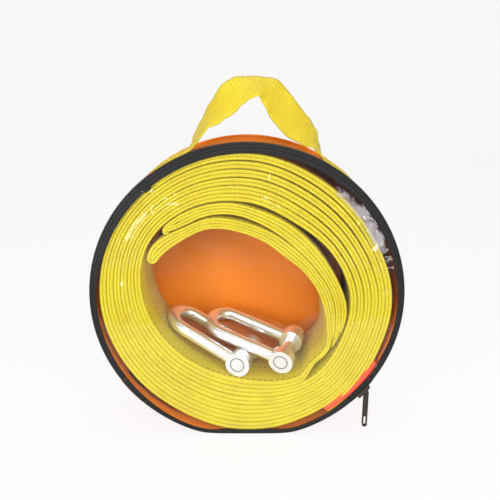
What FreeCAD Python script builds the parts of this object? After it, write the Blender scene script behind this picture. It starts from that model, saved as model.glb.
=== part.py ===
import FreeCAD, Part

import math
import os

from FreeCAD import Placement, Rotation, Vector

# Tow strap kit: a coiled tow strap and two screw-pin shackles in a round zipped carry bag.
# Millimetres. X to the right, Y from the window to the back panel, Z up. The origin is the middle
# of the flat that the bag stands on. Angles run from +X, anticlockwise as seen from the window.

SIZES = {
    # the bag
    "bag_radius": 107.5,
    "strap_width": 50.0,
    "strap_room": 10.0,
    "bag_depth": "=strap_width + strap_room",
    "stand_cut": 4.3,
    "centre_height": "=bag_radius - stand_cut",
    "crease_drop": "=bag_radius * 0.56",
    "crease_gap": 0.15,
    "fabric": 1.0,
    "film": 0.5,
    "piping": 1.8,
    # the zip
    "tape": 0.5,
    "tape_reach": 7.0,
    "tape_edge": 0.3,
    "side_tape": 9.0,
    "coil_height": 2.0,
    "row_width": 2.6,
    "row_gap": 0.9,
    "sewing_gap": 0.1,
    "film_inset": 0.7,
    "garage_drop": 13.0,
    "zip_stop": 3.5,
    "stop_gap": 0.3,
    "binding_reach": 4.2,
    "binding_lip": 4.0,
    "tab_side": 5.5,
    "tab_angle": 129.5,
    # the slider and its pull
    "slider_angle": -39.6,
    "slider_half": 5.5,
    "slider_wall": 1.3,
    "slider_play": 0.2,
    "inner_play": 0.3,
    "flange_reach": 1.8,
    "flange_wall": 0.5,
    "post_wall": 0.5,
    "post_length": 3.0,
    "lug_height": 3.0,
    "lug_wall": 0.8,
    "lug_half": 1.6,
    "pull_width": 3.7,
    "pull_wall": 1.6,
    "pull_length": 26.2,
    "pull_play": 0.3,
    "pivot_pin": 1.2,
    "pivot_bore": 1.5,
    "slot_width": 1.6,
    "slot_length": 7.0,
    "slot_edge": 2.4,
    # the carry handle
    "webbing_width": 25.0,
    "webbing": 1.6,
    "handle_left": -39.0,
    "handle_right": 49.0,
    "handle_rise": 46.4,
    "handle_flat": 36.0,
    "handle_corner": 11.0,
    "hinge_rise": 1.25,
    "foot_top": "=bag_radius - coil_height + webbing",
    "handle_hinge": "=centre_height + sqrt(foot_top * foot_top - handle_left * handle_left) + hinge_rise",
    "handle_root": 0.6,
    "handle_taper": 20.0,
    "root_gap": 0.85,
    "foot_sweep": 15.0,
    "tack": 0.4,
    "tack_width": 18.0,
    "tack_sweep": 0.9,
    # the strap
    "strap_gap": 0.7,
    "sleeve_gap": 0.9,
    "sleeve_wall": 3.6,
    "sleeve_start": -56.0,
    "sleeve_sweep": 28.5,
    "sleeve_proud": 0.3,
    "eye_slit": 1.0,
    "splice": 3.0,
    "layer_gap": 0.4,
    # the shackles
    "rod": 9.2,
    "ear": 17.6,
    "ear_wall": 8.4,
    "leg_lead": 1.0,
    "jaw": 20.0,
    "shackle_reach": 46.0,
    "pin": 9.8,
    "pin_play": 0.1,  # all round
    "collar": 14.0,
    "collar_wall": 2.4,
    "head": 12.0,
    "head_wall": 4.4,
    "head_bore": 4.6,
    "seat_gap": 0.1,
}

# Where each shackle lies: the middle of its jaw, as its height above the coil's lowest inner turn,
# the way its bow points and the way its pin points.
SHACKLES = {
    "left": ((-2.1, -7.8, 9.8), (-0.858, 0.255, 0.446), (0.268, 0.963, -0.035)),
    "right": ((29.3, -7.6, 14.3), (-0.916, 0.256, 0.310), (0.303, 0.946, 0.116)),
}

# The coil at every 30 degrees: its gap to the gusset's inside, and how thick its turns lie there.
COIL_GAPS = (4.9, 8.9, 7.9, 3.4, 2.9, 2.9, 3.6, 5.4, 5.6, 2.6, 5.2, 5.2)
COIL_WALLS = (28.7, 29.7, 33.7, 32.8, 27.3, 24.9, 30.2, 35.5, 39.3, 41.3, 31.9, 28.4)
COIL_FLOOR = 270
# The eye at the angles given with it: its gap to the coil's inside, and how thick it lies there.
EYE_ANGLES = (-20, 0, 20, 45, 70, 95, 125, 150)
EYE_GAPS = (1.0, 3.6, 5.9, 4.2, 2.4, 1.5, 1.1, 1.4)
EYE_WALLS = (10.7, 16.1, 16.3, 19.0, 18.6, 19.7, 15.6, 10.3)
EYE_TIP = (157.0, 5.5)
SLIT_ANGLES = (25, 60, 95, 125, 150)
SPLICE_ANGLES = (-62, -52, -42, -32, -24)

doc = FreeCAD.newDocument("tow_strap_kit")
sheet = doc.addObject("Spreadsheet::Sheet", "Sizes")
for row, (alias, value) in enumerate(SIZES.items(), 1):
    sheet.set(f"A{row}", alias)
    sheet.set(f"B{row}", str(value))
    sheet.setAlias(f"B{row}", alias)
doc.recompute()

# Places that several pieces share, as expressions of the sheet.
FRONT = "(-Sizes.bag_depth / 2)"
BACK = "(Sizes.bag_depth / 2)"
PANEL = "(Sizes.bag_depth / 2 - Sizes.fabric)"
FILM_FRONT = "(-Sizes.bag_depth / 2 + Sizes.tape)"
FILM_BACK = "(-Sizes.bag_depth / 2 + Sizes.tape + Sizes.film)"
ROW_BACK = f"({FILM_FRONT} + Sizes.row_width)"
SIDE_ROW = f"({ROW_BACK} + Sizes.row_gap)"
SIDE_ROW_BACK = f"({SIDE_ROW} + Sizes.row_width)"
RING = "Sizes.bag_radius"
CHAIN = "(Sizes.bag_radius - Sizes.coil_height)"
SHELL = "(Sizes.bag_radius - Sizes.coil_height - Sizes.sewing_gap)"
CREASE = "(Sizes.centre_height - Sizes.crease_drop)"
ABOVE = f"({CREASE} + Sizes.crease_gap)"
BELOW = f"({CREASE} - Sizes.crease_gap)"
ZIP_END = f"({CREASE} - Sizes.garage_drop)"
TOP = "(Sizes.centre_height + Sizes.bag_radius + 5)"
UNDER = "(-5)"
WIDE = "(Sizes.bag_radius + 5)"

nodes = []


def size(alias):
    """A driving size, read back from the sheet."""
    return float(sheet.get(alias))


def keep(piece, label):
    """Makes an object one of the kit's sub-parts, under its own name."""
    piece.Label = label
    nodes.append(piece)
    return piece


def drum(radius, front, back, start=None, sweep=None):
    """A cylinder about the bag's axis from front to back, or the sector of it from start on."""
    piece = doc.addObject("Part::Cylinder", "drum")
    turn = Rotation(Vector(1, 0, 0), -90)
    if sweep is not None:
        turn = Rotation(Vector(0, -1, 0), start + sweep) * turn
        piece.Angle = sweep
    piece.Placement = Placement(Vector(0, 0, 0), turn)
    piece.setExpression("Radius", radius)
    piece.setExpression("Height", f"{back} - {front}")
    piece.setExpression("Placement.Base.y", front)
    piece.setExpression("Placement.Base.z", "Sizes.centre_height")
    return piece


def block(left, right, front, back, low, high):
    """A box between these six places."""
    piece = doc.addObject("Part::Box", "block")
    piece.setExpression("Length", f"{right} - {left}")
    piece.setExpression("Width", f"{back} - {front}")
    piece.setExpression("Height", f"{high} - {low}")
    piece.setExpression("Placement.Base.x", left)
    piece.setExpression("Placement.Base.y", front)
    piece.setExpression("Placement.Base.z", low)
    return piece


def boolean(kind, base, tool):
    piece = doc.addObject(f"Part::{kind}", kind.lower())
    piece.Base = base
    piece.Tool = tool
    return piece


def level_drum(radius, front, back, low, high):
    """A drum cut level at low and high, as the bag is where it stands."""
    slab = block(f"(-{WIDE})", WIDE, f"({FRONT} - 5)", f"({BACK} + 5)", low, high)
    return boolean("Common", drum(radius, front, back), slab)


def rim(outer, inner, front, back, low, high, floor=UNDER):
    """A ring about the bag's axis from low to high, with its inside level at floor."""
    body = level_drum(outer, front, back, low, high)
    hollow = level_drum(inner, f"({front} - 1)", f"({back} + 1)", floor, f"({TOP} + 1)")
    return boolean("Cut", body, hollow)


def sector(outer, inner, front, back, start, sweep):
    """Part of a ring about the bag's axis, from the angle start on."""
    body = drum(outer, front, back, start, sweep)
    hollow = drum(inner, f"({front} - 1)", f"({back} + 1)", start - 1, sweep + 2)
    return boolean("Cut", body, hollow)


def sewn_shell():
    """The fabric panels, the piping, the clear film and the black binding."""
    keep(level_drum(SHELL, PANEL, BACK, "0", TOP), "back_panel")
    inside = f"({SHELL} - Sizes.fabric)"
    keep(rim(SHELL, inside, SIDE_ROW_BACK, PANEL, CREASE, TOP), "gusset_upper")

    base = rim(SHELL, inside, FILM_BACK, PANEL, "0", CREASE, "Sizes.fabric")
    for left, right in ((f"(-{WIDE})", "(-Sizes.bag_radius * 0.7)"), ("(Sizes.bag_radius * 0.7)", WIDE)):
        low = f"({ZIP_END} - Sizes.zip_stop)"
        notch = block(left, right, f"({FRONT} - 1)", SIDE_ROW_BACK, low, f"({CREASE} + 1)")
        base = boolean("Cut", base, notch)
    keep(base, "gusset_base")

    welt = f"({CHAIN} + Sizes.piping)"
    keep(rim(welt, CHAIN, f"({BACK} - Sizes.piping)", BACK, "0", TOP), "back_piping")

    film_edge = f"({CHAIN} - Sizes.film_inset)"
    keep(level_drum(film_edge, FILM_FRONT, FILM_BACK, ABOVE, TOP), "window_film")
    keep(level_drum(film_edge, FILM_FRONT, FILM_BACK, "Sizes.fabric", BELOW), "window_apron")

    reach = "(Sizes.bag_radius - Sizes.binding_reach)"
    face = rim(RING, reach, FRONT, FILM_FRONT, "0", BELOW, "Sizes.binding_reach")
    lip_top = f"({ZIP_END} - Sizes.zip_stop - Sizes.stop_gap)"
    lip = rim(RING, CHAIN, FILM_FRONT, f"({FILM_FRONT} + Sizes.binding_lip)", "0", lip_top)
    keep(boolean("Fuse", face, lip), "front_binding")


def zip_chain():
    """The two tapes, the two coils and the ends of the zip past the window."""
    tape_outer = "(Sizes.bag_radius - Sizes.tape_edge)"
    tape_inner = "(Sizes.bag_radius - Sizes.tape_reach)"
    keep(rim(tape_outer, tape_inner, FRONT, FILM_FRONT, ABOVE, TOP), "zip_tape_window")
    keep(rim(RING, CHAIN, FILM_FRONT, ROW_BACK, ABOVE, TOP), "zip_coil_window")
    keep(rim(RING, CHAIN, SIDE_ROW, SIDE_ROW_BACK, ZIP_END, TOP), "zip_coil_side")
    side_tape_back = f"({SIDE_ROW_BACK} + Sizes.side_tape)"
    side_tape = rim(f"({CHAIN} + Sizes.tape)", CHAIN, SIDE_ROW_BACK, side_tape_back, ZIP_END, TOP)
    keep(side_tape, "zip_tape_side")

    for side, left, right in (("left", f"(-{WIDE})", "0"), ("right", "0", WIDE)):
        half = block(left, right, f"({FRONT} - 1)", BACK, UNDER, TOP)
        row_end = rim(RING, CHAIN, FILM_FRONT, ROW_BACK, ZIP_END, BELOW)
        stop = rim(RING, CHAIN, FILM_FRONT, SIDE_ROW_BACK, f"({ZIP_END} - Sizes.zip_stop)", ZIP_END)
        garage = boolean("Fuse", row_end, stop)
        keep(boolean("Common", garage, half), f"zip_garage_{side}")

    tab = doc.addObject("Part::Box", "tab")
    tab.setExpression("Length", "Sizes.tab_side")
    tab.setExpression("Width", "Sizes.tape")
    tab.setExpression("Height", "Sizes.tab_side")
    lean = Rotation(Vector(0, -1, 0), size("tab_angle"))
    place = Vector(size("bag_radius") - size("tape_reach") - 1, 0, -size("tab_side") / 2)
    corner = lean.multVec(place) + Vector(0, -size("bag_depth") / 2 - size("tape"), size("centre_height"))
    tab.Placement = Placement(corner, lean)
    keep(tab, "zip_end_tab")


def primitive(body, kind, name, sizes, place, turn=None):
    """Adds or takes away a PartDesign primitive: sizes and place hold expressions."""
    piece = body.newObject(f"PartDesign::{kind}", name)
    piece.Placement = Placement(Vector(0, 0, 0), turn or Rotation())
    for key, value in sizes.items():
        piece.setExpression(key, value)
    for axis, value in zip("xyz", place):
        piece.setExpression(f"Placement.Base.{axis}", value)
    return piece


def box_in(body, name, x, y, z, kind="AdditiveBox"):
    """A box in a body, between two places on each axis."""
    sizes = {
        "Length": f"({x[1]}) - ({x[0]})",
        "Width": f"({y[1]}) - ({y[0]})",
        "Height": f"({z[1]}) - ({z[0]})",
    }
    return primitive(body, kind, name, sizes, (x[0], y[0], z[0]))


def rod_in(body, name, radius, span, place, kind="AdditiveCylinder"):
    """A cylinder along the body's Y, from the first place in span to the second."""
    sizes = {"Radius": radius, "Height": f"({span[1]}) - ({span[0]})"}
    turn = Rotation(Vector(1, 0, 0), -90)
    return primitive(body, kind, name, sizes, (place[0], span[0], place[1]), turn)


def at_slider(label):
    """A body whose X points out of the ring at the slider and whose origin is the ring centre."""
    body = doc.addObject("PartDesign::Body", label)
    turn = Rotation(Vector(0, -1, 0), size("slider_angle"))
    body.Placement = Placement(Vector(0, 0, size("centre_height")), turn)
    return body


# Places on the slider, in its body's own axes.
PLATE_FLOOR = "(Sizes.bag_radius + Sizes.slider_play)"
PLATE_TOP = f"({PLATE_FLOOR} + Sizes.slider_wall)"
INNER_TOP = f"({CHAIN} - Sizes.inner_play)"
PIVOT_OUT = f"({PLATE_TOP} + Sizes.pull_width / 2 + Sizes.pull_play)"
MID_ROWS = f"({ROW_BACK} + Sizes.row_gap / 2)"
HALF = ("(-Sizes.slider_half)", "Sizes.slider_half")


def slider():
    """Two plates joined by the post between the coils, with the lugs and the pin for the pull."""
    body = at_slider("slider_body")
    flange_front = f"({FRONT} - Sizes.slider_play - Sizes.flange_wall)"
    flange_back = f"({SIDE_ROW_BACK} + Sizes.inner_play + Sizes.flange_wall)"
    box_in(body, "outer_plate", (PLATE_FLOOR, PLATE_TOP), (flange_front, flange_back), HALF)
    box_in(
        body,
        "post",
        (f"({INNER_TOP} - Sizes.slider_wall / 2)", f"({PLATE_FLOOR} + Sizes.slider_wall / 2)"),
        (f"({MID_ROWS} - Sizes.post_wall / 2)", f"({MID_ROWS} + Sizes.post_wall / 2)"),
        ("(Sizes.slider_half - Sizes.post_length)", "Sizes.slider_half"),
    )
    inner_span = (f"({FILM_BACK} + Sizes.inner_play)", f"({SIDE_ROW_BACK} - Sizes.inner_play)")
    box_in(body, "inner_plate", (f"({INNER_TOP} - Sizes.slider_wall)", INNER_TOP), inner_span, HALF)
    low = f"({PLATE_FLOOR} - Sizes.flange_reach)"
    front_span = (flange_front, f"({flange_front} + Sizes.flange_wall)")
    box_in(body, "front_flange", (low, PLATE_TOP), front_span, HALF)
    rear_low = f"({CHAIN} + Sizes.tape + Sizes.inner_play)"
    rear_span = (f"({flange_back} - Sizes.flange_wall)", flange_back)
    box_in(body, "rear_flange", (rear_low, PLATE_TOP), rear_span, HALF)
    keep(body, "slider_body")

    bridge = at_slider("slider_bridge")
    half_pull = "(Sizes.pull_wall / 2 + Sizes.pull_play)"
    lug_top = f"({PLATE_TOP} + Sizes.lug_height)"
    lug_span = ("(-Sizes.lug_half)", "Sizes.lug_half")
    front_lug = (f"({MID_ROWS} - {half_pull} - Sizes.lug_wall)", f"({MID_ROWS} - {half_pull})")
    back_lug = (f"({MID_ROWS} + {half_pull})", f"({MID_ROWS} + {half_pull} + Sizes.lug_wall)")
    box_in(bridge, "front_lug", (PLATE_TOP, lug_top), front_lug, lug_span)
    rod_in(bridge, "pivot_pin", "Sizes.pivot_pin / 2", (front_lug[0], back_lug[1]), (PIVOT_OUT, "0"))
    box_in(bridge, "back_lug", (PLATE_TOP, lug_top), back_lug, lug_span)
    keep(bridge, "slider_bridge")


def pivot_place():
    """The middle of the pull's pivot, at rest."""
    plate_top = size("bag_radius") + size("slider_play") + size("slider_wall")
    out = plate_top + size("pull_width") / 2 + size("pull_play")
    rows = -size("bag_depth") / 2 + size("tape") + size("row_width") + size("row_gap") / 2
    angle = math.radians(size("slider_angle"))
    return Vector(out * math.cos(angle), rows, size("centre_height") + out * math.sin(angle))


def pull():
    """The pull tab: it hangs straight down from its pivot."""
    body = doc.addObject("PartDesign::Body", "zip_pull")
    body.Placement = Placement(pivot_place(), Rotation())
    wall = ("(-Sizes.pull_wall / 2)", "(Sizes.pull_wall / 2)")
    half = "(Sizes.pull_width / 2)"
    tail = "(-Sizes.pull_length)"
    rod_in(body, "eye", half, wall, ("0", "0"))
    box_in(body, "tab", (f"(-{half})", half), wall, (tail, "0"))
    rod_in(body, "tail", half, wall, ("0", tail))
    cut = ("(-Sizes.pull_wall)", "Sizes.pull_wall")
    rod_in(body, "pivot_bore", "Sizes.pivot_bore / 2", cut, ("0", "0"), "SubtractiveCylinder")
    low = f"({tail} - {half} + Sizes.slot_edge)"
    high = f"({low} + Sizes.slot_length - Sizes.slot_width)"
    slot_half = "(Sizes.slot_width / 2)"
    rod_in(body, "slot_low", slot_half, cut, ("0", low), "SubtractiveCylinder")
    rod_in(body, "slot_high", slot_half, cut, ("0", high), "SubtractiveCylinder")
    box_in(body, "slot", (f"(-{slot_half})", slot_half), cut, (low, high), "SubtractiveBox")
    keep(body, "zip_pull")


def rounded_path(corners, radius):
    """A wire along these corners with an arc of this radius at each inner one."""
    edges = []
    start = corners[0]
    for before, corner, after in zip(corners, corners[1:], corners[2:]):
        back = (before - corner).normalize()
        ahead = (after - corner).normalize()
        half = back.getAngle(ahead) / 2
        leave = corner + back * (radius / math.tan(half))
        join = corner + ahead * (radius / math.tan(half))
        middle = corner + (back + ahead).normalize() * (radius / math.sin(half) - radius)
        edges.append(Part.LineSegment(start, leave).toShape())
        edges.append(Part.Arc(leave, middle, join).toShape())
        start = join
    edges.append(Part.LineSegment(start, corners[-1]).toShape())
    return Part.Wire(edges)


def solid_node(label, shape):
    piece = doc.addObject("Part::Feature", label)
    piece.Shape = shape
    return keep(piece, label)


def handle():
    """The webbing loop, narrow at its roots so that it can tip, and its two sewn feet."""
    thick = size("webbing")
    low = size("handle_hinge")
    top = low + size("handle_rise") - thick / 2
    left, right = size("handle_left"), size("handle_right")
    middle, flat = (left + right) / 2, size("handle_flat") / 2
    places = ((left, low), (middle - flat, top), (middle + flat, top), (right, low))
    corners = [Vector(x, 0, z) for x, z in places]
    path = rounded_path(corners, size("handle_corner"))
    half = size("webbing_width") / 2
    across = (corners[1] - corners[0]).normalize().cross(Vector(0, 1, 0)) * (thick / 2)
    wide = Vector(0, half, 0)
    ring = [corners[0] + a + b for a, b in ((across, wide), (across, -wide), (-across, -wide), (-across, wide))]
    profile = Part.makePolygon(ring + ring[:1])
    loop = path.makePipeShell([profile], True, False)

    root, taper = size("handle_root"), size("handle_taper")
    sides = ((root, low), (half, low + taper), (half, top + thick))
    outline = [Vector(left - thick, y, z) for y, z in sides]
    outline += [Vector(left - thick, -y, z) for y, z in reversed(sides)]
    mask = Part.Face(Part.makePolygon(outline + outline[:1])).extrude(Vector(right - left + 2 * thick, 0, 0))
    solid_node("handle_loop", loop.common(mask))

    half_width = "(Sizes.webbing_width / 2)"
    foot_top = "Sizes.foot_top"
    foot_radius = size("foot_top")
    tacks = []
    for side, root_x, turn in (("left", left, 1), ("right", right, -1)):
        start = math.degrees(math.acos(root_x / foot_radius))
        sweep = size("foot_sweep")
        begin = start if turn > 0 else start - sweep
        strip = sector(foot_top, CHAIN, f"(-{half_width})", half_width, begin, sweep)
        alias = f"Sizes.handle_{side}"
        rise = block(
            f"({alias} - Sizes.webbing / 2)",
            f"({alias} + Sizes.webbing / 2)",
            "(-Sizes.webbing)",
            "Sizes.webbing",
            f"(Sizes.centre_height + sqrt(({foot_top})^2 - {alias}^2) - Sizes.webbing)",
            "(Sizes.handle_hinge - Sizes.root_gap)",
        )
        shell_core = drum(CHAIN, f"(-{half_width})", half_width)
        keep(boolean("Fuse", strip, boolean("Cut", rise, shell_core)), f"handle_foot_{side}")
        for share in (0.3, 0.75):
            tack_start = start + turn * sweep * share
            width = "(Sizes.tack_width / 2)"
            tack_top = f"({foot_top} + Sizes.tack)"
            tacks.append(sector(tack_top, foot_top, f"(-{width})", width, tack_start, size("tack_sweep")))
    stitching = doc.addObject("Part::Compound", "stitching")
    stitching.Links = tacks
    keep(stitching, "handle_stitching")


def polar(angle, radius):
    """A point at the strap's front edge, from an angle and a radius about the ring centre."""
    front = -size("bag_depth") / 2 + size("tape") + size("film") + size("strap_gap")
    turn = math.radians(angle)
    return Vector(radius * math.cos(turn), front, size("centre_height") + radius * math.sin(turn))


def closed_curve(radii):
    """A smooth closed wire through radii at equal steps round the ring centre."""
    step = 360 / len(radii)
    curve = Part.BSplineCurve()
    curve.interpolate(Points=[polar(i * step, radius) for i, radius in enumerate(radii)], PeriodicFlag=True)
    return Part.Wire(curve.toShape())


def open_curve(points):
    curve = Part.BSplineCurve()
    curve.interpolate(Points=points)
    return curve.toShape()


def strap_solid(outer, holes=()):
    """The strap's width of this outline, less its holes."""
    across = Vector(0, size("strap_width"), 0)
    body = Part.Face(outer).extrude(across)
    for hole in holes:
        body = body.cut(Part.Face(hole).extrude(across))
    return body


def coil_radii():
    """The coil's outer and inner radii, at equal steps round the ring centre."""
    inside = size("bag_radius") - size("coil_height") - size("sewing_gap") - size("fabric")
    outer = [inside - gap for gap in COIL_GAPS]
    return outer, [radius - wall for radius, wall in zip(outer, COIL_WALLS)]


def coil_inside(angle):
    """The coil's inner radius at an angle between its steps."""
    probe = Part.Wire([Part.LineSegment(polar(angle, 0), polar(angle, size("bag_radius"))).toShape()])
    distance, pairs, details = closed_curve(coil_radii()[1]).distToShape(probe)
    return pairs[0][0].distanceToPoint(polar(angle, 0))


def eye_middle(radii, angle):
    """The middle of the eye's thickness at an angle, straight between the two angles next to it."""
    for before, after in zip(radii, radii[1:]):
        if before[0] <= angle <= after[0]:
            share = (angle - before[0]) / (after[0] - before[0])
            return before[1] + (after[1] - before[1]) * share
    raise ValueError(angle)


def strap():
    """The coil, the flattened eye at its inner end with its splice, and the red sleeve."""
    outer, inner = coil_radii()
    solid_node("tow_strap_coil", strap_solid(closed_curve(outer), [closed_curve(inner)]))

    outer = [coil_inside(angle) - gap for angle, gap in zip(EYE_ANGLES, EYE_GAPS)]
    inner = [radius - wall for radius, wall in zip(outer, EYE_WALLS)]
    middle = [(angle, (a + b) / 2) for angle, a, b in zip(EYE_ANGLES, outer, inner)]
    outer = [polar(angle, radius) for angle, radius in zip(EYE_ANGLES, outer)]
    inner = [polar(angle, radius) for angle, radius in zip(EYE_ANGLES, inner)]
    tip_angle, tip_gap = EYE_TIP
    tip = Part.Arc(outer[-1], polar(tip_angle, coil_inside(tip_angle) - tip_gap), inner[-1]).toShape()
    end = Part.LineSegment(inner[0], outer[0]).toShape()
    outline = Part.Wire([open_curve(outer), tip, open_curve(inner[::-1]), end])
    half = size("eye_slit") / 2
    above = [polar(angle, eye_middle(middle, angle) + half) for angle in SLIT_ANGLES]
    below = [polar(angle, eye_middle(middle, angle) - half) for angle in SLIT_ANGLES]
    ends = [Part.LineSegment(above[i], below[i]).toShape() for i in (-1, 0)]
    hole = Part.Wire([open_curve(above), ends[0], open_curve(below[::-1]), ends[1]])
    solid_node("strap_inner_eye", strap_solid(outline, [hole]))

    walls = [coil_inside(angle) - size("layer_gap") for angle in SPLICE_ANGLES]
    far = [polar(angle, wall) for angle, wall in zip(SPLICE_ANGLES, walls)]
    near = [polar(angle, wall - size("splice")) for angle, wall in zip(SPLICE_ANGLES, walls)]
    sides = [Part.LineSegment(far[i], near[i]).toShape() for i in (-1, 0)]
    splice = Part.Wire([open_curve(far), sides[0], open_curve(near[::-1]), sides[1]])
    solid_node("strap_eye_splice", strap_solid(splice))

    front = f"({FILM_BACK} + Sizes.strap_gap - Sizes.sleeve_proud)"
    back = f"({FILM_BACK} + Sizes.strap_gap + Sizes.strap_width + Sizes.sleeve_proud)"
    outside = f"({SHELL} - Sizes.fabric - Sizes.sleeve_gap)"
    inside = f"({outside} - Sizes.sleeve_wall)"
    start, sweep = size("sleeve_start"), size("sleeve_sweep")
    keep(sector(outside, inside, front, back, start, sweep), "strap_red_sleeve")


def shackle(side):
    """A bow with its two ears, and its screw pin with collar and eye head."""
    place, leg, pin = (Vector(*values) for values in SHACKLES[side])
    place.z += size("centre_height") - coil_inside(COIL_FLOOR)
    leg.normalize()
    pin = (pin - leg * pin.dot(leg)).normalize()
    normal = leg.cross(pin)
    axes = FreeCAD.Matrix()
    for row, name in enumerate("xyz", 1):
        for column, axis in enumerate((leg, pin, normal), 1):
            setattr(axes, f"A{row}{column}", getattr(axis, name))
    placement = Placement(place, Rotation(axes))

    bow = doc.addObject("PartDesign::Body", f"shackle_bow_{side}")
    bow.Placement = placement
    centre = "(Sizes.jaw / 2 + Sizes.ear_wall / 2)"
    along = Rotation(Vector(0, 1, 0), 90)
    leg_start = "(Sizes.ear / 2 - Sizes.leg_lead)"
    leg_sizes = {"Radius": "Sizes.rod / 2", "Height": f"Sizes.shackle_reach - {leg_start}"}
    bend_sizes = {"Radius1": centre, "Radius2": "Sizes.rod / 2"}
    primitive(bow, "AdditiveCylinder", "front_leg", leg_sizes, (leg_start, f"-{centre}", "0"), along)
    quarter = Rotation(Vector(0, 0, 1), -90)
    bend = primitive(bow, "AdditiveTorus", "bend", bend_sizes, ("Sizes.shackle_reach", "0", "0"), quarter)
    bend.Angle3 = 180
    primitive(bow, "AdditiveCylinder", "rear_leg", leg_sizes, (leg_start, centre, "0"), along)
    bore = "(Sizes.pin / 2 + Sizes.pin_play)"
    for name, sign in (("front", "-1"), ("rear", "1")):
        middle = f"({sign} * {centre})"
        span = (f"({middle} - Sizes.ear_wall / 2)", f"({middle} + Sizes.ear_wall / 2)")
        rod_in(bow, f"{name}_ear", "Sizes.ear / 2", span, ("0", "0"))
    for name, sign in (("front", "-1"), ("rear", "1")):
        middle = f"({sign} * {centre})"
        drill = (f"({middle} - Sizes.ear_wall)", f"({middle} + Sizes.ear_wall * 0.9)")
        rod_in(bow, f"{name}_bore", bore, drill, ("0", "0"), "SubtractiveCylinder")
    keep(bow, f"shackle_bow_{side}")

    screw = doc.addObject("PartDesign::Body", f"shackle_pin_{side}")
    screw.Placement = placement
    face = "(Sizes.jaw / 2 + Sizes.ear_wall)"
    seat = f"({face} + Sizes.seat_gap)"
    collar_end = f"({seat} + Sizes.collar_wall)"
    rod_in(screw, "shank", "Sizes.pin / 2", (f"(-{face})", collar_end), ("0", "0"))
    rod_in(screw, "collar", "Sizes.collar / 2", (seat, collar_end), ("0", "0"))
    head_middle = f"({collar_end} + Sizes.head / 2 - 1)"
    head_sizes = {"Radius": "Sizes.head / 2", "Height": "Sizes.head_wall"}
    low = "(-Sizes.head_wall / 2)"
    primitive(screw, "AdditiveCylinder", "head", head_sizes, ("0", head_middle, low))
    hole_sizes = {"Radius": "Sizes.head_bore / 2", "Height": "Sizes.head_wall * 2"}
    hole_low = "(-Sizes.head_wall)"
    primitive(screw, "SubtractiveCylinder", "head_bore", hole_sizes, ("0", head_middle, hole_low))
    keep(screw, f"shackle_pin_{side}")


def export():
    """Checks every object and every sub-part, then writes one STEP file for each sub-part."""
    doc.recompute()
    for piece in doc.Objects:
        if {"Invalid", "Error"} & set(piece.State):
            raise RuntimeError(f"{piece.Label} failed: {piece.State}")
    for piece in nodes:
        if piece.Shape.isNull() or not piece.Shape.isValid() or not piece.Shape.Solids:
            raise RuntimeError(f"{piece.Label} has no valid solid")
    os.makedirs("parts", exist_ok=True)
    for piece in nodes:
        piece.Shape.exportStep(f"parts/{piece.Label}.step")
        print(f"{piece.Label:24s} {len(piece.Shape.Solids)} solid(s) {piece.Shape.Volume:12.1f} mm3")


sewn_shell()
zip_chain()
slider()
pull()
handle()
strap()
for side in SHACKLES:
    shackle(side)
export()
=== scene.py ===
import math

import bpy
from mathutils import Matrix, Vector, noise


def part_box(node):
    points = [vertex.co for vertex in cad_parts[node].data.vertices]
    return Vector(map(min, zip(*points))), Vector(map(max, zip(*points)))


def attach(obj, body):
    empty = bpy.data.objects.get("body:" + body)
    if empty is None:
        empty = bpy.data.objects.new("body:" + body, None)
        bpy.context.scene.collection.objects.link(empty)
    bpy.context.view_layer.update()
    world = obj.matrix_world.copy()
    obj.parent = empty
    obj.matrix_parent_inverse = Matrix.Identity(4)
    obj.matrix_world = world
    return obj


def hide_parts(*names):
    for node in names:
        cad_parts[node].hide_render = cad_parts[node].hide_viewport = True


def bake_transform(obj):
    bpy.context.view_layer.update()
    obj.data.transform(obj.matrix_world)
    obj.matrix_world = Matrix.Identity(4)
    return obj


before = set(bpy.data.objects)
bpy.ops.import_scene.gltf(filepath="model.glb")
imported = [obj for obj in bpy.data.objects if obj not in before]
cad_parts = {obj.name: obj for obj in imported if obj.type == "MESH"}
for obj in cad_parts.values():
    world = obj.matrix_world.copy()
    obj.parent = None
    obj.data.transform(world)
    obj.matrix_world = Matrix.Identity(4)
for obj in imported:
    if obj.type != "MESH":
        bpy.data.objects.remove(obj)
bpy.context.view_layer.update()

# Sizes are in millimetres, and the main places come from the CAD nodes. Angles run from +X,
# anticlockwise as seen from the window, about the middle of the ring of the zip.
MM = 0.001


def middle_y(node):
    low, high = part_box(node)
    return (low.y + high.y) / 2 / MM


RING_LOW, RING_HIGH = (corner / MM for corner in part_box("zip_coil_side"))
RING = (RING_HIGH.x - RING_LOW.x) / 2
CENTRE = RING_HIGH.z - RING
CHAIN = RING - 2
SHELL = CHAIN - 0.1
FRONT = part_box("front_binding")[0].y / MM
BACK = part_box("back_panel")[1].y / MM
FILM_Y = middle_y("window_film")
GUSSET_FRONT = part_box("zip_tape_side")[0].y / MM
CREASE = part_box("window_film")[0].z / MM
STRAP_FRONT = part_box("tow_strap_coil")[0].y / MM
STRAP_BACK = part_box("tow_strap_coil")[1].y / MM
RIB = 2.3  # the pitch of the strap's ribs
GROUND = 0.02  # the least height of the soft shell


# ---------------------------------------------------------------- small helpers


def polar(angle, radius, y):
    """A place in millimetres from an angle and a radius about the ring's middle."""
    turn = math.radians(angle)
    return Vector((radius * math.cos(turn), y, CENTRE + radius * math.sin(turn)))


def smooth(low, high, value):
    share = min(max((value - low) / (high - low), 0), 1)
    return share * share * (3 - 2 * share)


def bump_at(angle, middle, half):
    """1 at the middle angle, falling smoothly to 0 at half a width each side."""
    away = abs((angle - middle + 180) % 360 - 180)
    return 1 - smooth(0, half, away)


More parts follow.
